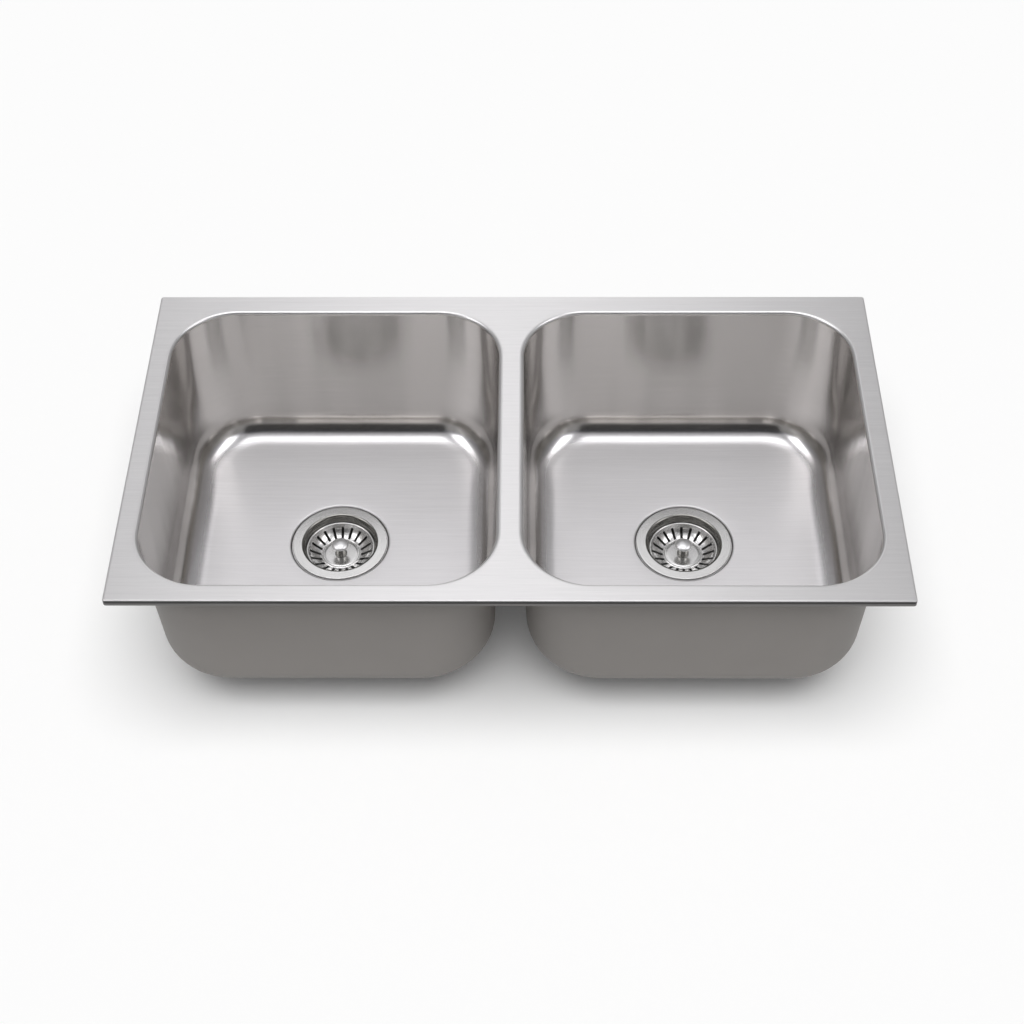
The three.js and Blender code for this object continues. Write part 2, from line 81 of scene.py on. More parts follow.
FLANGE_TOP = BODY_HIGH.z
FLANGE_RADIUS = (BODY_HIGH.x - BODY_LOW.x) / 2
DRAIN_Y = (BODY_HIGH.y + BODY_LOW.y) / 2
FLOOR_EDGE = FLANGE_TOP + FLOOR_FALL
RECESS_DEPTH = 2.8 * MM
RECESS_ROLL = 2.4 * MM
RECESS_HOLLOW = 1.4 * MM
RECESS_RADIUS = FLANGE_RADIUS + 0.8 * MM
DRAIN_HOLE = 45.5 * MM
PAD_THICKNESS = 2.5 * MM
PAD_BLENDS = (0.12, 0.86)

CUP_RADIUS = 41 * MM
CUP_WALL = 2.4 * MM
CUP_THREAD_RADIUS = CUP_RADIUS + CUP_WALL
CUP_THREAD_START = -8.3 * MM
CUP_DEPTH = 31 * MM
CUP_HOLLOW = 4 * MM
CUP_BOTTOM = -CUP_DEPTH - 2 * MM
SEAT_RADIUS = CUP_RADIUS + 1.3 * MM
SEAT_DEPTH = 10.6 * MM
THROAT_ROLL = 3.5 * MM
THROAT_RADIUS = SEAT_RADIUS + 1.2 * MM + THROAT_ROLL
FLANGE_THICKNESS = 1.2 * MM
FLANGE_ROUND = 0.5 * MM
OUTLET_BORE = 19.5 * MM
OUTLET_RADIUS = OUTLET_BORE + 4.4 * MM
OUTLET_END = BODY_LOW.z - FLANGE_TOP
OUTLET_CHAMFER = 1 * MM

BASKET_SHEET = 0.8 * MM
BASKET_RIM = (SHELL_HIGH.x - SHELL_LOW.x) / 2
BASKET_RIM_TOP = SHELL_HIGH.z - FLANGE_TOP
BASKET_WALL_TOP = CUP_RADIUS - SEAT_GAP
BASKET_WALL_BOTTOM = BASKET_WALL_TOP - 2.4 * MM
BASKET_WALL_END = BASKET_RIM_TOP - BASKET_SHEET - 6 * MM
BASKET_FLOOR = 26.5 * MM
BASKET_FLOOR_TOP = SHELL_LOW.z - FLANGE_TOP + BASKET_SHEET
SLOT_COUNT = 20
SLOT_WIDTH = 3.4 * MM
SLOT_UNDER_PLATE = 0.6 * MM  # how far a slot's inner end runs under the plate
SLOT_PAST_WALL = 1.2 * MM
SLOT_UP_WALL = 2.0 * MM  # how far its outer end runs up the basket's wall
SLOT_ROUND = 0.6  # share of its half width that is rounded at the ends
STEM_RADIUS = 3 * MM
STEM_HOLE = STEM_RADIUS + SEAT_GAP
PLATE_SMALLER = 1 * MM  # than the solid's plate, as in the photograph
PLATE_RADIUS = (PLATE_HIGH.x - PLATE_LOW.x) / 2 - PLATE_SMALLER
PLATE_BOTTOM = PLATE_LOW.z - FLANGE_TOP
PLATE_TOP = PLATE_BOTTOM + 1.0 * MM
KNOB_BOTTOM = KNOB_LOW.z - FLANGE_TOP
KNOB_TALLER = 4 * MM  # than the solid's knob, as in the photograph
KNOB_TOP = KNOB_HIGH.z - FLANGE_TOP + KNOB_TALLER
KNOB_HEAD = (KNOB_HIGH.x - KNOB_LOW.x) / 2
KNOB_NECK = 6.1 * MM
KNOB_HEAD_RISE = 4.1 * MM
KNOB_HEAD_CONE = 1.9 * MM
KNOB_HOLLOW = 8 * MM

NUT_CHAMFER = 0.8 * MM
LOCK_NUT_RIM = 7.6 * MM
LOCK_NUT_LUG = (4 * MM, 12 * MM)  # reach and width
COUPLING_NUT_RIM = 5.1 * MM
COUPLING_NUT_LUG = (2 * MM, 7 * MM)
COUPLING_NUT_SHOULDER = 3 * MM
PIPE_GAP = 0.8 * MM
LUG_COUNT = 6
LUG_FLANK = 0.012  # share of a turn over which a lug's flank rises
STEM_NUT_FLATS = 10 * MM
STEM_NUT_CHAMFER = 0.4 * MM

# ---------- how finely the skins are divided ----------
CORNER_STEPS = 20
SIDE_STEPS = 10
BEND_STEPS = 8
BEAD_STEPS = 12
EDGE_STEPS = 6
FILLET_STEPS = 16
FOOT_STEP = 8  # step of the fillet where the floor's brushing begins
FLOOR_STEPS = 10
WALL_ROWS = 12
ROUND_STEPS = 144
NUT_STEPS = 240
STEM_STEPS = 48
THREAD_PITCH = 2.3 * MM
THREAD_DEPTH = 1.1 * MM
THREAD_ROWS = 6  # rows of points for each turn of a thread
SHARP = math.radians(38)
WELD = 1e-7  # points closer than this are one


# ---------- skins ----------
class Skin:
    """Vertices and faces, with a look for each face and a grain place for each corner."""

    def __init__(self):
        self.vertices = []
        self.faces = []
        self.places = []
        self.looks = []
        self.satin = []  # for each vertex, how matt the brushing leaves it

    def face(self, corners, places, look=0):
        self.faces.append(tuple(corners))
        self.places.extend(places)
        self.looks.append(look)

    def loops(self, loops, closed=False, look=0, flat=False, satin=None):
        """Quads between loops of equal length; closed joins the last loop to the first.

        satin holds a level for each loop, and flat lays the grain along X all over.
        """
        start = len(self.vertices)
        count = len(loops[0])
        for loop, level in zip(loops, satin or [1.0] * len(loops)):
            self.vertices.extend(loop)
            self.satin.extend([level] * count)
        along = [0.0]
        for index in range(count):
            step = (loops[0][(index + 1) % count] - loops[0][index]).length
            along.append(along[-1] + step)
        across = 0.0
        pairs = [(ring, ring + 1) for ring in range(len(loops) - 1)]
        if closed:
            pairs.append((len(loops) - 1, 0))
        for ring, following in pairs:
            deeper = across + (loops[following][0] - loops[ring][0]).length
            for index in range(count):
                after = (index + 1) % count
                corners = (
                    start + ring * count + index,
                    start + ring * count + after,
                    start + following * count + after,
                    start + following * count + index,
                )
                if flat:
                    places = [self.vertices[corner].xy.to_tuple() for corner in corners]
                else:
                    near, far = along[index], along[index + 1]
                    places = [(near, across), (far, across), (far, deeper), (near, deeper)]
                self.face(corners, places, look)
            across = deeper
        return start

    def build(self, name, materials):
        mesh = bpy.data.meshes.new(name)
        mesh.from_pydata([tuple(v) for v in self.vertices], [], self.faces)
        layer = mesh.uv_layers.new(name="grain")
        for corner, place_of_corner in enumerate(self.places):
            layer.data[corner].uv = place_of_corner
        if min(self.satin, default=1.0) < 1.0:
            layer = mesh.attributes.new("satin", "FLOAT", "POINT")
            layer.data.foreach_set("value", self.satin)
        for material in materials:
            mesh.materials.append(material)
        for polygon, look in zip(mesh.polygons, self.looks):
            polygon.material_index = look
        work = bmesh.new()
        work.from_mesh(mesh)
        bmesh.ops.remove_doubles(work, verts=work.verts, dist=WELD)
        bmesh.ops.recalc_face_normals(work, faces=work.faces)
        work.to_mesh(mesh)
        work.free()
        mesh.shade_smooth()
        mesh.set_sharp_from_angle(angle=SHARP)
        piece = bpy.data.objects.new(name, mesh)
        bpy.context.scene.collection.objects.link(piece)
        return piece


def rectangle_loop(half_x, half_y, corner, centre=(0, 0)):
    """A rounded rectangle, anticlockwise from +X, with its straight sides divided too."""
    points = []
    signs = ((1, 1), (-1, 1), (-1, -1), (1, -1))
    for quarter, (sign_x, sign_y) in enumerate(signs):
        for step in range(CORNER_STEPS + 1):
            angle = (quarter + step / CORNER_STEPS) * math.pi / 2
            x = sign_x * (half_x - corner) + corner * math.cos(angle)
            y = sign_y * (half_y - corner) + corner * math.sin(angle)
            points.append(Vector((centre[0] + x, centre[1] + y)))
    divided = []
    for index, point in enumerate(points):
        divided.append(point)
        if index % (CORNER_STEPS + 1) == CORNER_STEPS:
            following = points[(index + 1) % len(points)]
            for step in range(1, SIDE_STEPS):
                divided.append(point.lerp(following, step / SIDE_STEPS))
    return divided


def circle_loop(radius, centre, count, first_step=0.0):
    points = []
    for index in range(count):
        angle = (index + first_step) / count * 2 * math.pi
        x = centre[0] + radius * math.cos(angle)
        y = centre[1] + radius * math.sin(angle)
        points.append(Vector((x, y)))
    return points


def drain_loop(radius, centre):
    """A circle whose points face those of a rounded rectangle."""
    return circle_loop(radius, centre, 4 * (CORNER_STEPS + SIDE_STEPS), SIDE_STEPS / 2)


def at_height(loop, z):
    return [Vector((point.x, point.y, z)) for point in loop]


def arc(centre, radius, start, end, steps=BEND_STEPS):
    """Points of an arc in (radius, height), angles in degrees."""
    points = []
    for step in range(steps + 1):
        angle = math.radians(start + (end - start) * step / steps)
        x = centre[0] + radius * math.cos(angle)
        y = centre[1] + radius * math.sin(angle)
        points.append((x, y))
    return points


def threaded(radius, bottom, top):
    """Rows of a screw thread; the mark on each row lets revolve turn it into a helix."""
    rows = max(2, round((top - bottom) / THREAD_PITCH * THREAD_ROWS))
    return [(radius, bottom + (top - bottom) * row / rows, True) for row in range(rows + 1)]


def thread_wave(height, turn):
    """From 0 at the crest of the thread to 1 at its root."""
    phase = (height / THREAD_PITCH - turn) % 1.0
    return 1 - abs(2 * phase - 1)


def revolve(name, profile, centre, materials, looks=None, segments=ROUND_STEPS):
    """A closed round solid from (radius, height) points; looks numbers each step's material."""
    skin = Skin()
    skin_rings = []
    across = [0.0]
    for index, point in enumerate(profile):
        following = profile[(index + 1) % len(profile)]
        step = math.hypot(following[0] - point[0], following[1] - point[1])
        across.append(across[-1] + step)
        ring = []
        for segment in range(segments):
            turn = segment / segments
            radius = point[0]
            if len(point) > 2:
                radius -= THREAD_DEPTH * thread_wave(point[1], turn)
            angle = turn * 2 * math.pi
            x = centre[0] + radius * math.cos(angle)
            y = centre[1] + radius * math.sin(angle)
            ring.append(len(skin.vertices))
            skin.vertices.append(Vector((x, y, centre[2] + point[1])))
        skin_rings.append(ring)
    girth = 2 * math.pi * max(point[0] for point in profile)
    for index, lower in enumerate(skin_rings):
        upper = skin_rings[(index + 1) % len(skin_rings)]
        look = looks[index] if looks else 0
        for segment in range(segments):
            after = (segment + 1) % segments
            near, far = segment / segments * girth, (segment + 1) / segments * girth
            low, high = across[index], across[index + 1]
            corners = (lower[segment], lower[after], upper[after], upper[segment])
            skin.face(corners, ((near, low), (far, low), (far, high), (near, high)), look)
    piece = skin.build(name, materials)
    close_poles(piece)
    return piece


def close_poles(piece):
    """Drops the faces that shrink to nothing where a profile touches its axis."""
    work = bmesh.new()
    work.from_mesh(piece.data)
    bmesh.ops.dissolve_degenerate(work, edges=work.edges, dist=WELD)
    work.to_mesh(piece.data)
    work.free()


def nut(name, outline, inside, span, chamfer, centre):
    """A nut: outline(turn) is its outer radius, inside its (radius, height) from the top down."""
    bottom, top = span
    rows = ((chamfer, bottom), (0, bottom + chamfer), (0, top - chamfer), (chamfer, top))
    loops = []
    for inset, height in rows:
        loop = []
        for step in range(NUT_STEPS):
            turn = step / NUT_STEPS
            radius = outline(turn) - inset
            x = centre[0] + radius * math.cos(turn * 2 * math.pi)
            y = centre[1] + radius * math.sin(turn * 2 * math.pi)
            loop.append(Vector((x, y, centre[2] + height)))
        loops.append(loop)
    for radius, height in inside:
        loop = circle_loop(radius, centre, NUT_STEPS)
        loops.append(at_height(loop, centre[2] + height))
    skin = Skin()
    skin.loops(loops, closed=True)
    return skin.build(name, [NUT_METAL])


def chamfered_hole(radius, span, chamfer):
    bottom, top = span
    mouth = radius + chamfer
    return ((mouth, top), (radius, top - chamfer), (radius, bottom + chamfer), (mouth, bottom))


def lugged(radius, lug):
    """Outline of a nut with rounded lugs."""
    reach, width = lug

    def outline(turn):
        middle = (math.floor(turn * LUG_COUNT) + 0.5) / LUG_COUNT
        half = width / 2 / radius / (2 * math.pi)
        rise = (half + LUG_FLANK / 2 - abs(turn - middle)) / LUG_FLANK
        rise = min(1.0, max(0.0, rise))
        return radius + reach * rise * rise * (3 - 2 * rise)

    return outline


def hexagon(flats, corner_cut=0.96):
    """Outline of a hexagon with its corners turned off."""

    def outline(turn):
        angle = (turn * 6 % 1 - 0.5) * math.pi / 3
        most = flats / 2 / math.cos(math.pi / 6) * corner_cut
        return min(flats / 2 / math.cos(angle), most)

    return outline


# ---------- materials ----------
class Nodes:
    """Short hand for building a node tree."""

    def __init__(self, owner):
        owner.use_nodes = True
        self.tree = owner.node_tree
        self.tree.nodes.clear()

    def add(self, kind, **values):
        node = self.tree.nodes.new(kind)
        for key, value in values.items():
            setattr(node, key, value)
        return node

    def link(self, source, target):
        self.tree.links.new(source, target)

    def math(self, operation, first, second=None):
        node = self.add("ShaderNodeMath", operation=operation)
        for socket, value in zip(node.inputs, (first, second)):
            if isinstance(value, (int, float)):
                socket.default_value = value
            elif value is not None:
                self.link(value, socket)
        return node.outputs[0]

    def noise(self, vector, scale, detail, roughness):
        node = self.add("ShaderNodeTexNoise")
        node.inputs["Scale"].default_value = scale
        node.inputs["Detail"].default_value = detail
        node.inputs["Roughness"].default_value = roughness
        self.link(vector, node.inputs["Vector"])
        return node.outputs["Fac"]

    def stretched(self, vector, scale):
        node = self.add("ShaderNodeMapping")
        node.inputs["Scale"].default_value = scale
        self.link(vector, node.inputs["Vector"])
        return node.outputs["Vector"]

    def map_range(self, value, low, high, from_low=0.0, from_high=1.0):
        node = self.add("ShaderNodeMapRange")
        node.inputs["From Min"].default_value = from_low
        node.inputs["From Max"].default_value = from_high
        node.inputs["To Min"].default_value = low
        node.inputs["To Max"].default_value = high
        self.link(value, node.inputs["Value"])
        return node.outputs["Result"]

    def window(self, value, low, high, blur):
        """1 between low and high, and 0 outside, with edges as soft as blur."""
        rise = self.step(value, low - blur / 2, low + blur / 2)
        fall = self.step(value, high + blur / 2, high - blur / 2)
        return self.math("MULTIPLY", rise, fall)

    def step(self, value, zero, one):
        node = self.add("ShaderNodeMapRange", interpolation_type="SMOOTHSTEP")
        node.inputs["From Min"].default_value = zero
        node.inputs["From Max"].default_value = one
        self.link(value, node.inputs["Value"])
        return node.outputs["Result"]

    def bump(self, height, distance, strength=1.0, normal=None):
        node = self.add("ShaderNodeBump")
        node.inputs["Strength"].default_value = strength
        node.inputs["Distance"].default_value = distance
        self.link(height, node.inputs["Height"])
        if normal is not None:
            self.link(normal, node.inputs["Normal"])
        return node.outputs["Normal"]

    def tinted(self, value, dark, light):
        node = self.add("ShaderNodeMix", data_type="RGBA")
        node.inputs["A"].default_value = (*dark, 1)
        node.inputs["B"].default_value = (*light, 1)
        self.link(value, node.inputs["Factor"])
        return node.outputs["Result"]

    def principled(self, color, roughness, normal, metallic):
        shader = self.add("ShaderNodeBsdfPrincipled")
        shader.inputs["Metallic"].default_value = metallic
        self.link(color, shader.inputs["Base Color"])
        self.link(roughness, shader.inputs["Roughness"])
        self.link(normal, shader.inputs["Normal"])
        output = self.add("ShaderNodeOutputMaterial")
        self.link(shader.outputs["BSDF"], output.inputs["Surface"])
        return shader

    def background(self, color, strength=None):
        node = self.add("ShaderNodeBackground")
        node.inputs["Color"].default_value = color
        if strength is not None:
            self.link(strength, node.inputs["Strength"])
        return node.outputs["Background"]

    def either(self, choice, zero, one):
        """The shader one where choice is 1, and zero elsewhere."""
        node = self.add("ShaderNodeMixShader")
        self.link(choice, node.inputs["Fac"])
        self.link(zero, node.inputs[1])
        self.link(one, node.inputs[2])
        return node.outputs["Shader"]


# Noises, as scale, detail and roughness
LINES = (1.0, 3.0, 0.6)
CLOUDS = (9.0, 3.0, 0.55)
STREAKS = (1.0, 2.0, 0.5)
PATCHES = (14.0, 2.0, 0.5)
SPECKLE_DETAIL = (3.0, 0.6)
NOISE_SPAN = (0.3, 0.7)  # where most of a noise's values lie
COARSER = (4, 5)  # how much longer and wider the coarse lines are
STEEL_SPREAD = 0.03  # how far roughness strays to either side
PLAIN_SPREAD = 0.05
PLAIN_BUMP = 0.6


def steel(name, base, roughness, grain, metallic=1.0, anisotropic=0.0, polish=None, streaky=False):
    """Brushed steel whose lines follow the grain map; grain is (along, across) per metre.

    polish is the roughness where the satin attribute is 0, and the metal is pure there.
    """
    material = bpy.data.materials.new(name)
    nodes = Nodes(material)
    grain_map = nodes.add("ShaderNodeUVMap", uv_map="grain").outputs["UV"]
    along, across = grain
    fine = nodes.noise(nodes.stretched(grain_map, (along, across, 1)), *LINES)
    coarse = (along / COARSER[0], across / COARSER[1], 1)
    broad = nodes.noise(nodes.stretched(grain_map, coarse), *LINES)
    place = nodes.add("ShaderNodeTexCoord").outputs["Object"]
    clouds = nodes.noise(place, *CLOUDS)
    halves = [nodes.math("MULTIPLY", noise, 0.5) for noise in (fine, broad)]
    lines = nodes.math("ADD", *halves)
    dark = tuple(channel * (1 - GRAIN_CONTRAST) for channel in base)
    light = tuple(min(1.0, channel * (1 + GRAIN_CONTRAST)) for channel in base)
    shade = lines
    if streaky:
        streaks = nodes.noise(nodes.stretched(place, STREAK_SCALE), *STREAKS)
        streak_shade = nodes.map_range(streaks, -STREAK_SHADE, STREAK_SHADE, *NOISE_SPAN)
        shade = nodes.math("ADD", lines, streak_shade)
    color = nodes.tinted(nodes.map_range(shade, 0.0, 1.0, *NOISE_SPAN), dark, light)
    rough = nodes.map_range(clouds, roughness - STEEL_SPREAD, roughness + STEEL_SPREAD)
    if polish is not None:
        satin = nodes.add("ShaderNodeAttribute", attribute_name="satin").outputs["Fac"]
        smoother = nodes.map_range(satin, polish - roughness, 0.0)
        rough = nodes.math("ADD", rough, smoother)
    normal = nodes.bump(lines, GRAIN_RELIEF)
    if streaky:
        normal = nodes.bump(streaks, STREAK_RELIEF, normal=normal)
    shader = nodes.principled(color, rough, normal, metallic)
    if polish is not None:
        nodes.link(nodes.map_range(satin, 1.0, metallic), shader.inputs["Metallic"])
    shader.inputs["Anisotropic"].default_value = anisotropic
    shader.inputs["Anisotropic Rotation"].default_value = ANISOTROPY_TURN
    if anisotropic:
        tangent = nodes.add("ShaderNodeTangent", direction_type="UV_MAP", uv_map="grain")
        nodes.link(tangent.outputs["Tangent"], shader.inputs["Tangent"])
    return material


def plain(name, dark, light, roughness, metallic=0.0, grain=600.0, relief=0.05):
    """A moulded, cast or painted surface with cloudy colour and a fine relief in millimetres."""
    material = bpy.data.materials.new(name)
    nodes = Nodes(material)
    place = nodes.add("ShaderNodeTexCoord").outputs["Object"]
    speckle = nodes.noise(place, grain, *SPECKLE_DETAIL)
    color = nodes.tinted(nodes.noise(place, *PATCHES), dark, light)
    rough = nodes.map_range(speckle, roughness - PLAIN_SPREAD, roughness + PLAIN_SPREAD)
    normal = nodes.bump(speckle, relief * MM, PLAIN_BUMP)
    nodes.principled(color, rough, normal, metallic)
    return material


GRAIN_CONTRAST = 0.06
GRAIN_RELIEF = 0.004 * MM
STREAK_SCALE = (13, 13, 1.0)  # waves per metre; upright streaks on the drawn walls
STREAK_SHADE = 0.5  # how much the streaks also tint the metal
STREAK_RELIEF = 1.6 * MM
STEEL = (0.73, 0.722, 0.722)
BOWL_TINT = (0.7, 0.678, 0.656)
FLOOR_TINT = (0.695, 0.683, 0.694)
BRIGHT = (0.78, 0.775, 0.77)
SATIN_METALLIC = 0.58  # matt brushing scatters light as a part-diffuse surface does
DECK_METALLIC = 0.9
DECK_ROUGHNESS = 0.3
FLOOR_ROUGHNESS = 0.42
WALL_POLISH = 0.15
WALL_ANISOTROPY = 0.7
FLOOR_ANISOTROPY = 0.4
ANISOTROPY_TURN = 0.25
GRAIN = (25, 1400)
DECK_STEEL = steel("deck_steel", STEEL, DECK_ROUGHNESS, GRAIN, DECK_METALLIC, 0.6)
WALL_STEEL = steel(
    "bowl_wall_steel",
    BOWL_TINT,
    FLOOR_ROUGHNESS,
    GRAIN,
    SATIN_METALLIC,
    WALL_ANISOTROPY,
    WALL_POLISH,
    True,
)
FLOOR_STEEL = steel(
    "bowl_floor_steel",
    FLOOR_TINT,
    FLOOR_ROUGHNESS,
    GRAIN,
    SATIN_METALLIC,
    FLOOR_ANISOTROPY,
    WALL_POLISH,
)
FLANGE_STEEL = steel("flange_steel", BRIGHT, 0.26, (120, 900), 0.8)
# Dark steel as painted shade: on the strainer's throat and outside, the knob's neck under its
# head, and the stem.
THROAT_SHADE_STEEL = steel("throat_painted_shade_steel", (0.27, 0.266, 0.252), 0.2, (40, 900))
BASKET_STEEL = steel("basket_steel", BRIGHT, 0.2, (40, 900), 0.9)
KNOB_CHROME = steel("knob_chrome", (0.74, 0.74, 0.745), 0.32, (40, 900), 0.85)
UNDERCOAT = plain("undercoat", (0.285, 0.267, 0.252), (0.316, 0.296, 0.28), 0.55)
LIP_SHADOW = plain(
    "lip_shadow_line", (0.028, 0.027, 0.026), (0.045, 0.044, 0.043), 0.5, metallic=0.3
)
# Grey darker than the steel: painted shade on the lip's lower face.
LIP_FACE_SHADE = plain("lip_face_painted_shade", (0.17, 0.165, 0.162), (0.21, 0.205, 0.2), 0.5, metallic=0.4)
# Near-black steel as painted shade: inside the strainer's cup and in the hollow of the recess
# round the flange.
CUP_SHADE = plain("cup_inside_painted_shade", (0.07, 0.068, 0.066), (0.1, 0.098, 0.095), 0.6, metallic=0.5)
RUBBER = plain("black_rubber", (0.02, 0.02, 0.021), (0.035, 0.035, 0.036), 0.75)
PAD = plain("damping_pad", (0.1, 0.1, 0.105), (0.13, 0.13, 0.135), 0.85, relief=0.2)
FIBRE = plain("fibre", (0.3, 0.18, 0.1), (0.38, 0.24, 0.14), 0.85)
NUT_METAL = plain("cast_nut", (0.5, 0.4, 0.2), (0.62, 0.52, 0.3), 0.4, metallic=1.0)
WASHER_PLASTIC = plain("washer_plastic", (0.74, 0.74, 0.71), (0.8, 0.8, 0.77), 0.5)


# The satin attribute: 1 is the floor's matt brushing, 0 is polished.
WALL_SATIN = 0.15
FILLET_SATIN = 0.05
SATIN_TURN = 0.6  # share of the fillet's turn after which the floor's matt brushing begins


# ---------- deck ----------
def bent_band(half_x, half_y, corner, inward, bend, depth, centre):
    """Closed band of sheet that bends down from the deck, with flat holding strips."""
    outer = arc((bend, -bend), bend, 180, 90)
    inner = arc((bend, -bend), bend - SHEET, 90, 180)
    profile = [
        (0, -depth),
        (0, -depth * LIP_SPLIT),
        *outer,
        (bend + HOLDING, 0),
        (bend + HOLDING, -SHEET),
        *inner,
        (SHEET, -depth),
    ]
    loops = []
    for inset, height in profile:
        step = inward * inset
        loop = rectangle_loop(half_x - step, half_y - step, corner - step, centre)
        loops.append(at_height(loop, DECK_TOP + height))
    return loops


def make_deck():
    skin = Skin()
    bands = [bent_band(DECK_HIGH.x, DECK_HIGH.y, DECK_CORNER, 1, LIP_BEND, LIP_DEPTH, (0, 0))]
    lip_looks = (3, 1, 1, 1)  # the rings of the lip's face, from its foot to the bend: painted shade on the lower face, then the painted shadow line
    neck_looks = (2, 2, 2, 2)  # the rings of a neck that are brushed as the wall below it
    for side in (-1, 1):
        centre = (side * BOWL_CENTRE_X, BOWL_CENTRE_Y)
        depth = DECK_TOP - NECK_BOTTOM
        size = (BOWL_HALF_X, BOWL_HALF_Y, BOWL_CORNER)
        bands.append(bent_band(*size, -1, NECK_BEND, depth, centre))
    top_ring = BEND_STEPS + 3  # the last ring on the deck's top face
    tops, bottoms = [], []
    for band, loops in enumerate(bands):
        count = len(loops[0])
        first_face = len(skin.faces)
        satin = [WALL_SATIN] * len(neck_looks) + [1.0] * (top_ring + 1 - len(neck_looks))
        start = skin.loops(loops[: top_ring + 1], satin=satin)
        for ring, look in enumerate(neck_looks if band else lip_looks):
            ring_start = first_face + ring * count
            skin.looks[ring_start : ring_start + count] = [look] * count
        tops.append([start + top_ring * count + index for index in range(count)])
        under = loops[top_ring + 1 :] + loops[:1]
        start = skin.loops(under, satin=[1.0] * (len(under) - 1) + [WALL_SATIN])
        bottoms.append([start + index for index in range(count)])
    for rings in (tops, bottoms):
        flat = [[skin.vertices[index] for index in ring] for ring in rings]
        order = [index for ring in rings for index in ring]
        for triangle in tessellate_polygon(flat):
            corners = [order[corner] for corner in triangle]
            skin.face(corners, [skin.vertices[corner].xy.to_tuple() for corner in corners])
    return skin.build("deck_panel", [DECK_STEEL, LIP_SHADOW, WALL_STEEL, LIP_FACE_SHADE])


# ---------- bowls ----------
def wall_stations():
    """Inner face from the rim to the floor: (inset, corner, height, lean of the outer side)."""
    first_lean = math.atan2(WALL_DRAFT, NECK_BOTTOM - FLOOR_EDGE - FLOOR_FILLET)
    fillet_top = FLOOR_EDGE + FLOOR_FILLET * (1 - math.sin(first_lean))
    stations = []
    for row in range(WALL_ROWS):
        share = row / WALL_ROWS
        height = NECK_BOTTOM + (fillet_top - NECK_BOTTOM) * share
        drawn = share * share / 2 / DRAFT_EASE if share < DRAFT_EASE else share - DRAFT_EASE / 2
        drawn /= 1 - DRAFT_EASE / 2
        corner = BOWL_CORNER + (FILLET_CORNER - BOWL_CORNER) * drawn
        stations.append((WALL_DRAFT * drawn, corner, height, 0.0))
    for step in range(FILLET_STEPS + 1):
        lean = first_lean + (math.pi / 2 - first_lean) * step / FILLET_STEPS
        inset = FLOOR_FILLET * (math.cos(first_lean) - math.cos(lean))
        height = FLOOR_EDGE + FLOOR_FILLET * (1 - math.sin(lean))
        stations.append((WALL_DRAFT + inset, FILLET_CORNER - inset, height, lean))
    return stations


def wall_loop(station, offset, centre):
    inset, corner, height, lean = station
    out = offset * math.cos(lean)
    half_x, half_y = BOWL_HALF_X - inset + out, BOWL_HALF_Y - inset + out
    loop = rectangle_loop(half_x, half_y, corner + out, centre)
    return at_height(loop, height - offset * math.sin(lean))


def recess_stations():
    """(radius, height, lean) down the pressed recess to the drain hole."""
    turn_most = math.acos(1 - RECESS_DEPTH / (RECESS_ROLL + RECESS_HOLLOW))
    mouth = RECESS_RADIUS + (RECESS_ROLL + RECESS_HOLLOW) * math.sin(turn_most)
    stations = []
    for step in range(BEND_STEPS + 1):
        turn = turn_most * step / BEND_STEPS
        radius = mouth - RECESS_ROLL * math.sin(turn)
        height = FLANGE_TOP - RECESS_ROLL * (1 - math.cos(turn))
        stations.append((radius, height, math.pi / 2 - turn))
    for step in range(1, BEND_STEPS + 1):
        turn = turn_most * (1 - step / BEND_STEPS)
        radius = RECESS_RADIUS + RECESS_HOLLOW * math.sin(turn)
        height = FLANGE_TOP - RECESS_DEPTH + RECESS_HOLLOW * (1 - math.cos(turn))
        stations.append((radius, height, math.pi / 2 - turn))
    stations.append((DRAIN_HOLE, FLANGE_TOP - RECESS_DEPTH, math.pi / 2))
    return stations


def recess_loop(station, offset, centre_x):
    radius, height, lean = station
    loop = drain_loop(radius + offset * math.cos(lean), (centre_x, DRAIN_Y))
    return at_height(loop, height - offset * math.sin(lean))


def floor_loop(share, offset, centre_x):
    """Loop on the sloping floor, from its edge (0) to the mouth of the recess (1)."""
    edge = wall_loop(wall_stations()[-1], offset, (centre_x, BOWL_CENTRE_Y))
    mouth = recess_loop(recess_stations()[0], offset, centre_x)
    return [a.lerp(b, share) for a, b in zip(edge, mouth)]


def bowl_loops(offset, centre_x):
    centre = (centre_x, BOWL_CENTRE_Y)
    walls = [wall_loop(station, offset, centre) for station in wall_stations()]
    floor = [floor_loop(step / FLOOR_STEPS, offset, centre_x) for step in range(FLOOR_STEPS)]
    recess = [recess_loop(station, offset, centre_x) for station in recess_stations()]
    return walls, floor + recess


def satin_levels():
    """How matt each station of the wall is: less so round the fillet."""
    levels = []
    for *_, height, lean in wall_stations():
        turn = lean / (math.pi / 2)
        above = min(1.0, max(0.0, (height - FLOOR_EDGE - FLOOR_FILLET) / FLOOR_FILLET))
        wall = FILLET_SATIN + (WALL_SATIN - FILLET_SATIN) * above
        foot = min(1.0, max(0.0, (turn - SATIN_TURN) / (1 - SATIN_TURN)))
        levels.append(wall + (1 - wall) * foot)
    return levels


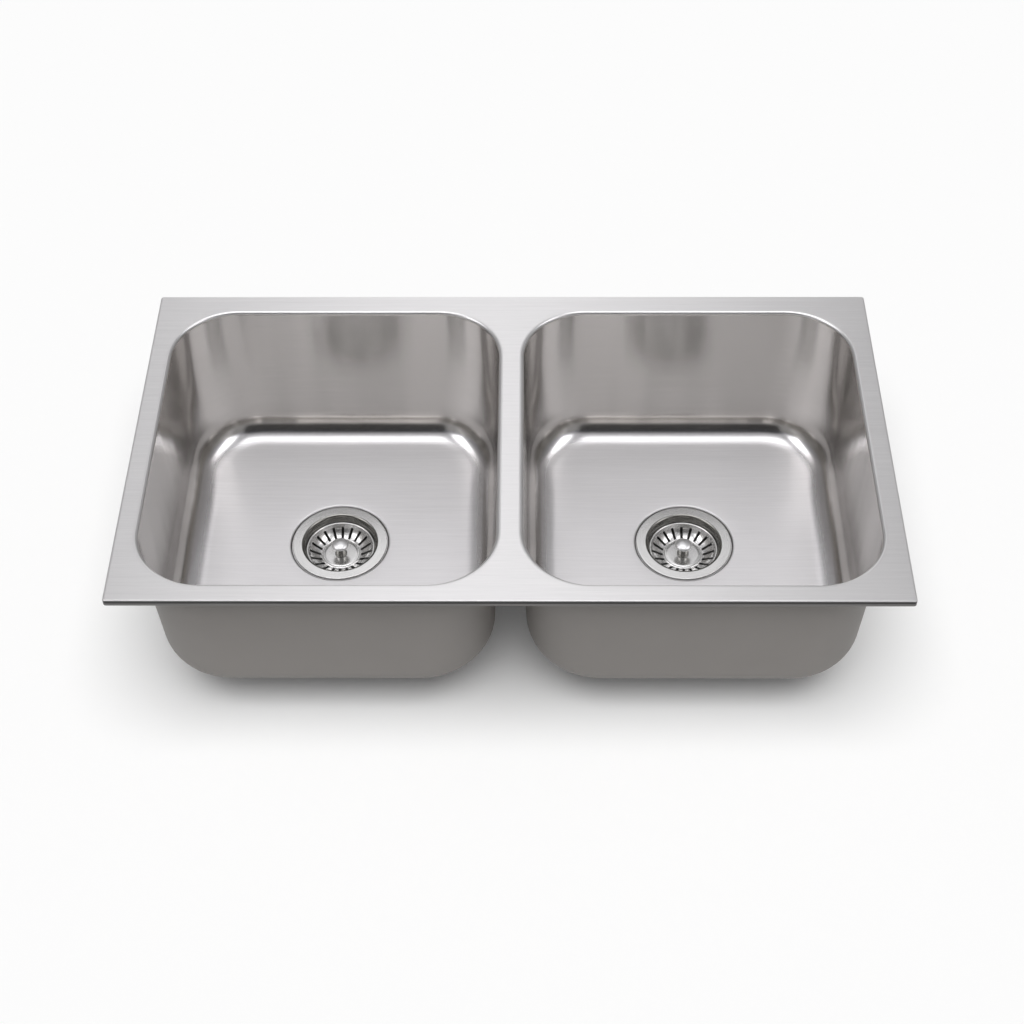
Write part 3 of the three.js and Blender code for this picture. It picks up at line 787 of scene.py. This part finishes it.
def make_bowl(prefix, centre_x):
    skin = Skin()
    walls, floor = bowl_loops(0.0, centre_x)
    outer_walls, outer_floor = bowl_loops(SHEET, centre_x)
    levels = satin_levels()
    foot = WALL_ROWS + FOOT_STEP
    skin.loops(walls[: foot + 1], look=0, satin=levels[: foot + 1])
    skin.loops(walls[foot:], look=1, flat=True, satin=levels[foot:])
    first_face = len(skin.faces)
    skin.loops(floor, look=1, flat=True)
    count = len(floor[0])
    hollow = FLOOR_STEPS + BEND_STEPS  # where the recess's hollow gets painted shade, a dark line round the flange
    for ring in range(hollow, hollow + BEND_STEPS):
        skin.looks[first_face + ring * count : first_face + (ring + 1) * count] = [3] * count
    skin.loops([floor[-1], outer_floor[-1]], look=1, flat=True)
    skin.loops(outer_floor, look=2, flat=True)
    skin.loops(outer_walls, look=2)
    skin.loops([walls[0], outer_walls[0]], look=0, satin=levels[:1] * 2)
    return skin.build(f"{prefix}_bowl_shell", [WALL_STEEL, FLOOR_STEEL, UNDERCOAT, CUP_SHADE])


def make_pad(prefix, centre_x):
    rise = SHEET + SEAT_GAP
    drop = rise + PAD_THICKNESS
    round_off = 0.008  # share of the floor over which the pad's edge is rounded
    outer, inner = PAD_BLENDS
    rows = ((outer, rise), (outer, drop - PAD_THICKNESS / 3), (outer + round_off, drop))
    rows += ((inner - round_off, drop), (inner, drop - PAD_THICKNESS / 3), (inner, rise))
    loops = [floor_loop(share, offset, centre_x) for share, offset in rows]
    skin = Skin()
    skin.loops(loops, closed=True, flat=True)
    return skin.build(f"{prefix}_damping_pad", [PAD])


# ---------- strainer ----------
def make_strainer_body(prefix, centre):
    roll = (THROAT_RADIUS, -THROAT_ROLL)
    hollow = (CUP_RADIUS - CUP_HOLLOW, -CUP_DEPTH + CUP_HOLLOW)
    turned = (CUP_THREAD_RADIUS - CUP_HOLLOW, CUP_BOTTOM + CUP_HOLLOW)
    edge = FLANGE_RADIUS - FLANGE_ROUND
    outside = [
        (OUTLET_BORE, OUTLET_END),
        (OUTLET_RADIUS - THREAD_DEPTH, OUTLET_END),
        *threaded(OUTLET_RADIUS, OUTLET_END, CUP_BOTTOM - THREAD_PITCH),
        (OUTLET_RADIUS - THREAD_DEPTH, CUP_BOTTOM),
        *arc(turned, CUP_HOLLOW - THREAD_DEPTH, -90, 0),
        *threaded(CUP_THREAD_RADIUS, CUP_BOTTOM + CUP_HOLLOW, CUP_THREAD_START),
        *arc(roll, THROAT_ROLL - FLANGE_THICKNESS, 180, 90),
    ]
    top = [
        (FLANGE_RADIUS, -FLANGE_THICKNESS),
        *arc((edge, -FLANGE_ROUND), FLANGE_ROUND, 0, 90, 5),
        (edge - HOLDING, 0),
        (THROAT_RADIUS + HOLDING, 0),
    ]
    throat = [
        *arc(roll, THROAT_ROLL, 90, 180, 2 * BEND_STEPS),
        (SEAT_RADIUS, -SEAT_DEPTH),
    ]
    cup = [
        (CUP_RADIUS, -SEAT_DEPTH),
        *arc(hollow, CUP_HOLLOW, 0, -90),
        (OUTLET_BORE + OUTLET_CHAMFER, -CUP_DEPTH),
        (OUTLET_BORE, -CUP_DEPTH - OUTLET_CHAMFER),
    ]
    # Look 1 is the dark steel of painted shade, and look 2 the near-black painted shade inside the
    # cup.
    looks = [1] * len(outside) + [0] * len(top) + [1] * len(throat) + [2] * len(cup)
    materials = [FLANGE_STEEL, THROAT_SHADE_STEEL, CUP_SHADE]
    return revolve(f"{prefix}_strainer", outside + top + throat + cup, centre, materials, looks)


def heights(node):
    """Bottom and top of a CAD node, from the top of its strainer's flange."""
    low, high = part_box(node)
    return low.z - FLANGE_TOP, high.z - FLANGE_TOP


def make_washer(name, node, hole, centre, material):
    """A flat ring in the place of a CAD ring, with its edges rounded off."""
    low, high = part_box(node)
    outer = (high.x - low.x) / 2
    bottom, top = heights(node)
    edge = (top - bottom) / 4
    profile = [
        (hole + edge, bottom),
        *arc((outer - edge, bottom + edge), edge, -90, 0, 4),
        *arc((outer - edge, top - edge), edge, 0, 90, 4),
        *arc((hole + edge, top - edge), edge, 90, 180, 4),
        *arc((hole + edge, bottom + edge), edge, 180, 270, 4),
    ]
    return revolve(name, profile[:-1], centre, [material])


def make_lock_nut(prefix, centre):
    outline = lugged(CUP_THREAD_RADIUS + LOCK_NUT_RIM, LOCK_NUT_LUG)
    span = heights(f"{prefix}_lock_nut")
    hole = chamfered_hole(CUP_THREAD_RADIUS + SEAT_GAP, span, NUT_CHAMFER)
    return nut(f"{prefix}_lock_ring", outline, hole, span, NUT_CHAMFER, centre)


def make_coupling_nut(prefix, centre):
    outline = lugged(OUTLET_RADIUS + COUPLING_NUT_RIM, COUPLING_NUT_LUG)
    span = heights(f"{prefix}_coupling_nut")
    bottom, top = span
    shoulder = bottom + COUPLING_NUT_SHOULDER
    pipe = OUTLET_BORE + PIPE_GAP
    thread = OUTLET_RADIUS + SEAT_GAP
    inside = ((thread, top), (thread, shoulder), (pipe, shoulder), (pipe, bottom))
    return nut(f"{prefix}_tail_nut", outline, inside, span, NUT_CHAMFER, centre)


# ---------- basket ----------
def make_basket_shell(prefix, centre):
    under = BASKET_FLOOR_TOP - BASKET_SHEET
    rim_under = BASKET_RIM_TOP - BASKET_SHEET
    rim_round = BASKET_SHEET / 2
    bend = 1.2 * MM
    profile = [
        (STEM_HOLE, under),
        (BASKET_FLOOR - bend, under),
        (BASKET_FLOOR + bend / 2, under + bend / 4),
        (BASKET_WALL_BOTTOM - bend / 2, BASKET_WALL_END - bend / 4),
        (BASKET_WALL_BOTTOM, BASKET_WALL_END + bend / 2),
        (BASKET_WALL_TOP, rim_under),
        *arc((BASKET_RIM - rim_round, rim_under + rim_round), rim_round, -90, 90, EDGE_STEPS),
        *arc((BASKET_WALL_TOP - 0.2 * MM, BASKET_RIM_TOP - bend), bend, 90, 165, EDGE_STEPS),
        (BASKET_WALL_BOTTOM - BASKET_SHEET, BASKET_WALL_END + bend),
        (BASKET_WALL_BOTTOM - BASKET_SHEET - bend / 3, BASKET_WALL_END + BASKET_SHEET / 2),
        (BASKET_FLOOR + bend / 2, BASKET_FLOOR_TOP + bend / 3),
        (BASKET_FLOOR - bend, BASKET_FLOOR_TOP),
        (STEM_HOLE, BASKET_FLOOR_TOP),
    ]
    shell = revolve(f"{prefix}_basket_sieve", profile, centre, [BASKET_STEEL])
    cutter = slot_cutters(centre)
    cut = shell.modifiers.new("slots", "BOOLEAN")
    cut.operation = "DIFFERENCE"
    cut.solver = "EXACT"
    cut.object = cutter
    depsgraph = bpy.context.evaluated_depsgraph_get()
    mesh = bpy.data.meshes.new_from_object(shell.evaluated_get(depsgraph))
    shell.modifiers.clear()
    shell.data = mesh
    mesh.set_sharp_from_angle(angle=SHARP)
    bpy.data.objects.remove(cutter)
    return shell


def slot_cutters(centre):
    """Upright prisms with round ends, one for each slot of the basket's cone."""
    start = PLATE_RADIUS - SLOT_UNDER_PLATE
    end = BASKET_WALL_BOTTOM + SLOT_PAST_WALL
    half = SLOT_WIDTH / 2
    round_end = half * SLOT_ROUND
    outline = []
    ends = ((end, 1, (-90, 0)), (end, 1, (0, 90)), (start, -1, (90, 180)), (start, -1, (180, 270)))
    for reach, sign, (first, last) in ends:
        side = 1 if first in (0, 90) else -1
        middle = (reach - sign * round_end, side * (half - round_end))
        outline += arc(middle, round_end, first, last, 3)
    low = centre[2] + BASKET_FLOOR_TOP - 3 * MM
    high = centre[2] + BASKET_WALL_END + SLOT_UP_WALL
    skin = Skin()
    for slot in range(SLOT_COUNT):
        turn = slot / SLOT_COUNT * 2 * math.pi
        spin = Matrix.Rotation(turn, 3, "Z")
        loops = []
        for height in (low, high):
            loop = [spin @ Vector((x, y, 0)) for x, y in outline]
            loops.append([Vector((centre[0] + p.x, centre[1] + p.y, height)) for p in loop])
        first_vertex = skin.loops(loops)
        count = len(outline)
        bottom = range(first_vertex, first_vertex + count)
        top = range(first_vertex + count, first_vertex + 2 * count)
        for cap in (bottom, top):
            skin.face(cap, [(0, 0)] * count)
    return skin.build("slot_cutters", [BASKET_STEEL])


def make_plate(prefix, centre):
    bead = PLATE_RADIUS - 1.5 * MM
    groove = PLATE_RADIUS - 3.6 * MM
    profile = [
        (STEM_HOLE, PLATE_BOTTOM),
        (PLATE_RADIUS - 0.3 * MM, PLATE_BOTTOM),
        (PLATE_RADIUS, PLATE_BOTTOM + 0.3 * MM),
        (PLATE_RADIUS, PLATE_TOP - 0.4 * MM),
        *arc((bead, PLATE_TOP - 0.55 * MM), 1.45 * MM, 8, 172, BEAD_STEPS),
        (groove + 0.4 * MM, PLATE_TOP - 0.3 * MM),
        (groove, PLATE_TOP - 0.35 * MM),
        (groove - 0.7 * MM, PLATE_TOP - 0.22 * MM),
        (groove - 2 * MM, PLATE_TOP),
        (groove - 2 * MM - HOLDING, PLATE_TOP),
        (STEM_HOLE, PLATE_TOP),
    ]
    return revolve(f"{prefix}_basket_disc", profile, centre, [BASKET_STEEL])


def make_knob(prefix, centre):
    neck = KNOB_NECK
    base = neck + 1.2 * MM
    head_edge = KNOB_TOP - KNOB_HEAD_RISE
    neck_top = head_edge - KNOB_HEAD_CONE
    rise = KNOB_TOP - head_edge
    foot_round = 0.6 * MM
    flare = 0.8 * MM
    under_head = 1.2 * MM
    dome = []
    for step in range(BEAD_STEPS):
        angle = math.pi / 2 * step / BEAD_STEPS
        dome.append((KNOB_HEAD * math.cos(angle), head_edge + rise * math.sin(angle)))
    below = [
        (STEM_HOLE, KNOB_BOTTOM + KNOB_HOLLOW),
        (STEM_HOLE, KNOB_BOTTOM),
        (base - 0.3 * MM, KNOB_BOTTOM),
        *arc((base - foot_round, KNOB_BOTTOM + foot_round), foot_round, -40, 80, EDGE_STEPS),
        *arc((neck + flare, KNOB_BOTTOM + 1.3 * MM + flare), flare, 262, 180),
        (neck, neck_top - 1 * MM),
        *arc((neck + under_head, neck_top - 0.6 * MM), under_head, 180, 100, 5),
    ]
    cap = [
        (KNOB_HEAD - 0.9 * MM, head_edge - 0.7 * MM),
        *dome,
        (0, KNOB_TOP),
        (0, KNOB_BOTTOM + KNOB_HOLLOW),
    ]
    # The knob's foot and neck take the dark steel: painted shade under its head.
    looks = [1] * len(below) + [0] * len(cap)
    materials = [KNOB_CHROME, THROAT_SHADE_STEEL]
    return revolve(f"{prefix}_basket_grip", below + cap, centre, materials, looks)


def make_stem(prefix, centre):
    bottom, top = heights(f"{prefix}_basket_stem")
    cut = 0.5 * MM
    profile = [
        (0, bottom),
        (STEM_RADIUS - cut, bottom),
        (STEM_RADIUS, bottom + cut),
        (STEM_RADIUS, top - cut),
        (STEM_RADIUS - cut, top),
        (0, top),
    ]
    return revolve(f"{prefix}_basket_rod", profile, centre, [THROAT_SHADE_STEEL], segments=STEM_STEPS)


def make_stopper(prefix, centre):
    bottom, top = STOPPER_LOW.z - FLANGE_TOP, STOPPER_HIGH.z - FLANGE_TOP
    radius = (STOPPER_HIGH.x - STOPPER_LOW.x) / 2
    lip = 1.2 * MM
    middle = (bottom + top) / 2
    profile = [
        (STEM_HOLE, bottom),
        (radius - lip / 2, bottom),
        *arc((radius - lip / 2, bottom + lip / 2), lip / 2, -90, 90, EDGE_STEPS),
        (radius - 3 * MM, middle - 0.6 * MM),
        (radius - 3.2 * MM, middle),
        (radius - 6 * MM, top - 0.4 * MM),
        (radius - 6.4 * MM, top),
        (STEM_HOLE, top),
    ]
    return revolve(f"{prefix}_rubber_stopper", profile, centre, [RUBBER])


def make_stem_nut(prefix, centre):
    span = heights(f"{prefix}_stem_nut")
    hole = chamfered_hole(STEM_HOLE, span, STEM_NUT_CHAMFER)
    outline = hexagon(STEM_NUT_FLATS)
    return nut(f"{prefix}_hex_nut", outline, hole, span, STEM_NUT_CHAMFER, centre)


# ---------- assembly ----------
def put(piece, body, slot, *nodes):
    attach(piece, body)
    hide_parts(*nodes)


put(make_deck(), "sink", "sheet_steel", "deck")
for prefix, side in (("left", -1), ("right", 1)):
    centre_x = side * BOWL_CENTRE_X
    drain = (centre_x, DRAIN_Y, FLANGE_TOP)
    basket = f"{prefix}_basket"
    seal_hole = THROAT_RADIUS + 2 * MM
    gasket_hole = CUP_THREAD_RADIUS + 1.8 * MM
    tail_hole = OUTLET_BORE + 0.5 * MM
    put(make_bowl(prefix, centre_x), "sink", "sheet_steel", f"{prefix}_bowl")
    put(make_pad(prefix, centre_x), "sink", "pad_rubber", f"{prefix}_sound_pad")
    put(make_strainer_body(prefix, drain), "sink", "strainer_steel", f"{prefix}_strainer_body")
    washers = (
        ("flange_seal", "seal_rubber", seal_hole, RUBBER),
        ("gasket", "seal_rubber", gasket_hole, RUBBER),
        ("friction_ring", "fibre", gasket_hole, FIBRE),
        ("tail_washer", "washer_plastic", tail_hole, WASHER_PLASTIC),
    )
    for node, slot, hole, look in washers:
        ring = make_washer(f"{prefix}_{node}_ring", f"{prefix}_{node}", hole, drain, look)
        put(ring, "sink", slot, f"{prefix}_{node}")
    put(make_lock_nut(prefix, drain), "sink", "nut_metal", f"{prefix}_lock_nut")
    put(make_coupling_nut(prefix, drain), "sink", "nut_metal", f"{prefix}_coupling_nut")
    put(make_basket_shell(prefix, drain), basket, "strainer_steel", f"{prefix}_basket_shell")
    put(make_plate(prefix, drain), basket, "strainer_steel", f"{prefix}_basket_plate")
    put(make_knob(prefix, drain), basket, "knob_chrome", f"{prefix}_basket_knob")
    put(make_stem(prefix, drain), basket, "strainer_steel", f"{prefix}_basket_stem")
    put(make_stopper(prefix, drain), basket, "seal_rubber", f"{prefix}_stopper")
    put(make_stem_nut(prefix, drain), basket, "nut_metal", f"{prefix}_stem_nut")


# ---------- floor, light and camera ----------
FLOOR_SIZE = 12.0
FLOOR_COLOR = (0.93, 0.93, 0.93)
FLOOR_BOUNCE = (0.6, 0.6, 0.6)  # what it throws back on the object
FLOOR_GLOW = 0.06  # lights nothing: only the camera and reflections see it
# What polished metal sees, as soft-edged panels that add up: (level, over, across, blurs).
# over is an angle from the front horizon (0) over the top (90) to the back horizon (180);
# across is how far a direction leans to the left (-1) or right (1).
SKY_PANELS = (
    (2.3, (80, 114), (-0.28, 0.20), (12, 0.12)),  # softbox overhead
    (0.50, (58, 116), (-0.75, 0.75), (14, 0.3)),  # wide fill round it
    (0.33, (118, 185), (-0.8, 0.8), (14, 0.6)),  # pale wall behind
    (0.84, (118, 185), (-0.16, 0.10), (14, 0.3)),  # its middle
    (0.28, (-5, 56), (-0.8, 0.8), (18, 0.3)),  # grey wall in front
    (0.4, (-5, 17), (-1.1, 1.1), (12, 0.2)),  # its pale foot
    (-0.6, (30, 62), (-0.3, 0.3), (12, 0.3)),  # dark gap in it
    (2.8, (66, 104), (0.46, 0.68), (14, 0.1)),  # strip light, right
    (2.8, (66, 104), (-0.68, -0.46), (14, 0.1)),  # strip light, left
    (0.18, (0, 180), (0.64, 1.2), (14, 0.12)),  # right
    (0.18, (0, 180), (-1.2, -0.64), (14, 0.12)),  # left
)
WHITE = (1, 1, 1, 1)
MATT_SKY = (0.8, 0.8, 0.8, 1)
SKY_TINT = (1.0, 0.995, 1.01, 1)
SKY_DARKEST = 0.03
SKY_ON_MATT = 0.3  # level straight overhead for matt surfaces
KEY_STRENGTH = 2.7
KEY_ANGLE = 45  # how wide the key light looks, in degrees
KEY_FROM_FRONT = 17  # degrees from straight above, towards the front


def make_floor():
    material = bpy.data.materials.new("floor_white")
    nodes = Nodes(material)
    diffuse = nodes.add("ShaderNodeBsdfDiffuse")
    glow = nodes.add("ShaderNodeEmission")
    rays = nodes.add("ShaderNodeLightPath")
    seen = nodes.math("MAXIMUM", rays.outputs["Is Camera Ray"], rays.outputs["Is Glossy Ray"])
    nodes.link(nodes.tinted(seen, FLOOR_BOUNCE, FLOOR_COLOR), diffuse.inputs["Color"])
    nodes.link(nodes.map_range(seen, 0.0, FLOOR_GLOW), glow.inputs["Strength"])
    both = nodes.add("ShaderNodeAddShader")
    nodes.link(diffuse.outputs["BSDF"], both.inputs[0])
    nodes.link(glow.outputs["Emission"], both.inputs[1])
    output = nodes.add("ShaderNodeOutputMaterial")
    nodes.link(both.outputs["Shader"], output.inputs["Surface"])
    skin = Skin()
    for x, y in ((-1, -1), (1, -1), (1, 1), (-1, 1)):
        skin.vertices.append(Vector((x * FLOOR_SIZE, y * FLOOR_SIZE, 0)))
    skin.face(range(4), [(0, 0)] * 4)
    skin.build("floor", [material])


def make_world():
    world = bpy.data.worlds.new("studio")
    bpy.context.scene.world = world
    nodes = Nodes(world)
    direction = nodes.add("ShaderNodeSeparateXYZ")
    nodes.link(nodes.add("ShaderNodeTexCoord").outputs["Generated"], direction.inputs["Vector"])
    forward = nodes.math("MULTIPLY", direction.outputs["Y"], -1)
    over = nodes.math("ARCTAN2", direction.outputs["Z"], forward)
    level = 0.0
    for strength, over_span, across_span, (over_blur, across_blur) in SKY_PANELS:
        over_window = nodes.window(over, *(math.radians(a) for a in (*over_span, over_blur)))
        across_window = nodes.window(direction.outputs["X"], *across_span, across_blur)
        both = nodes.math("MULTIPLY", over_window, across_window)
        level = nodes.math("ADD", level, nodes.math("MULTIPLY", both, strength))
    polished = nodes.background(SKY_TINT, nodes.math("MAXIMUM", level, SKY_DARKEST))
    matt = nodes.background(MATT_SKY, nodes.map_range(direction.outputs["Z"], 0.0, SKY_ON_MATT))
    rays = nodes.add("ShaderNodeLightPath").outputs
    by_gloss = nodes.either(rays["Is Glossy Ray"], matt, polished)
    by_camera = nodes.either(rays["Is Camera Ray"], by_gloss, nodes.background(WHITE))
    output = nodes.add("ShaderNodeOutputWorld")
    nodes.link(by_camera, output.inputs["Surface"])


def make_key():
    light = bpy.data.lights.new("key", "SUN")
    light.energy = KEY_STRENGTH
    light.angle = math.radians(KEY_ANGLE)
    lamp = bpy.data.objects.new("key", light)
    lean = math.radians(KEY_FROM_FRONT)
    lamp.rotation_mode = "QUATERNION"
    ray = Vector((0, math.sin(lean), -math.cos(lean)))
    lamp.rotation_quaternion = ray.to_track_quat("-Z", "Y")
    lamp.visible_glossy = False
    bpy.context.scene.collection.objects.link(lamp)


# Camera fitted to the photograph; its place is from the middle of the deck's top face.
CAMERA_PLACE = Vector((20.4, -1481.2, 1529.1)) * MM
CAMERA_PITCH = 48.205  # degrees below the horizon
CAMERA_YAW = -0.758
CAMERA_ROLL = -0.529
FOCAL_PIXELS = 1859.6  # focal length in pixels of the 1024-pixel frame
FRAME_PIXELS = 1024
SENSOR_MM = 36.0


def make_camera():
    data = bpy.data.cameras.new("camera")
    data.sensor_width = SENSOR_MM
    data.lens = SENSOR_MM * FOCAL_PIXELS / FRAME_PIXELS
    camera = bpy.data.objects.new("camera", data)
    pitch, yaw, roll = (math.radians(a) for a in (CAMERA_PITCH, CAMERA_YAW, CAMERA_ROLL))
    flat = math.cos(pitch)
    ahead = Vector((math.sin(yaw) * flat, math.cos(yaw) * flat, -math.sin(pitch)))
    level = Vector((math.cos(yaw), -math.sin(yaw), 0))
    above = level.cross(ahead)
    right = math.cos(roll) * level + math.sin(roll) * above
    up = -math.sin(roll) * level + math.cos(roll) * above
    turn = Matrix((right, up, -ahead)).transposed()
    place = CAMERA_PLACE + Vector((0, 0, DECK_TOP))
    camera.matrix_world = Matrix.Translation(place) @ turn.to_4x4()
    bpy.context.scene.collection.objects.link(camera)
    bpy.context.scene.camera = camera


make_floor()
make_world()
make_key()
make_camera()
bpy.context.scene.view_settings.view_transform = "Standard"
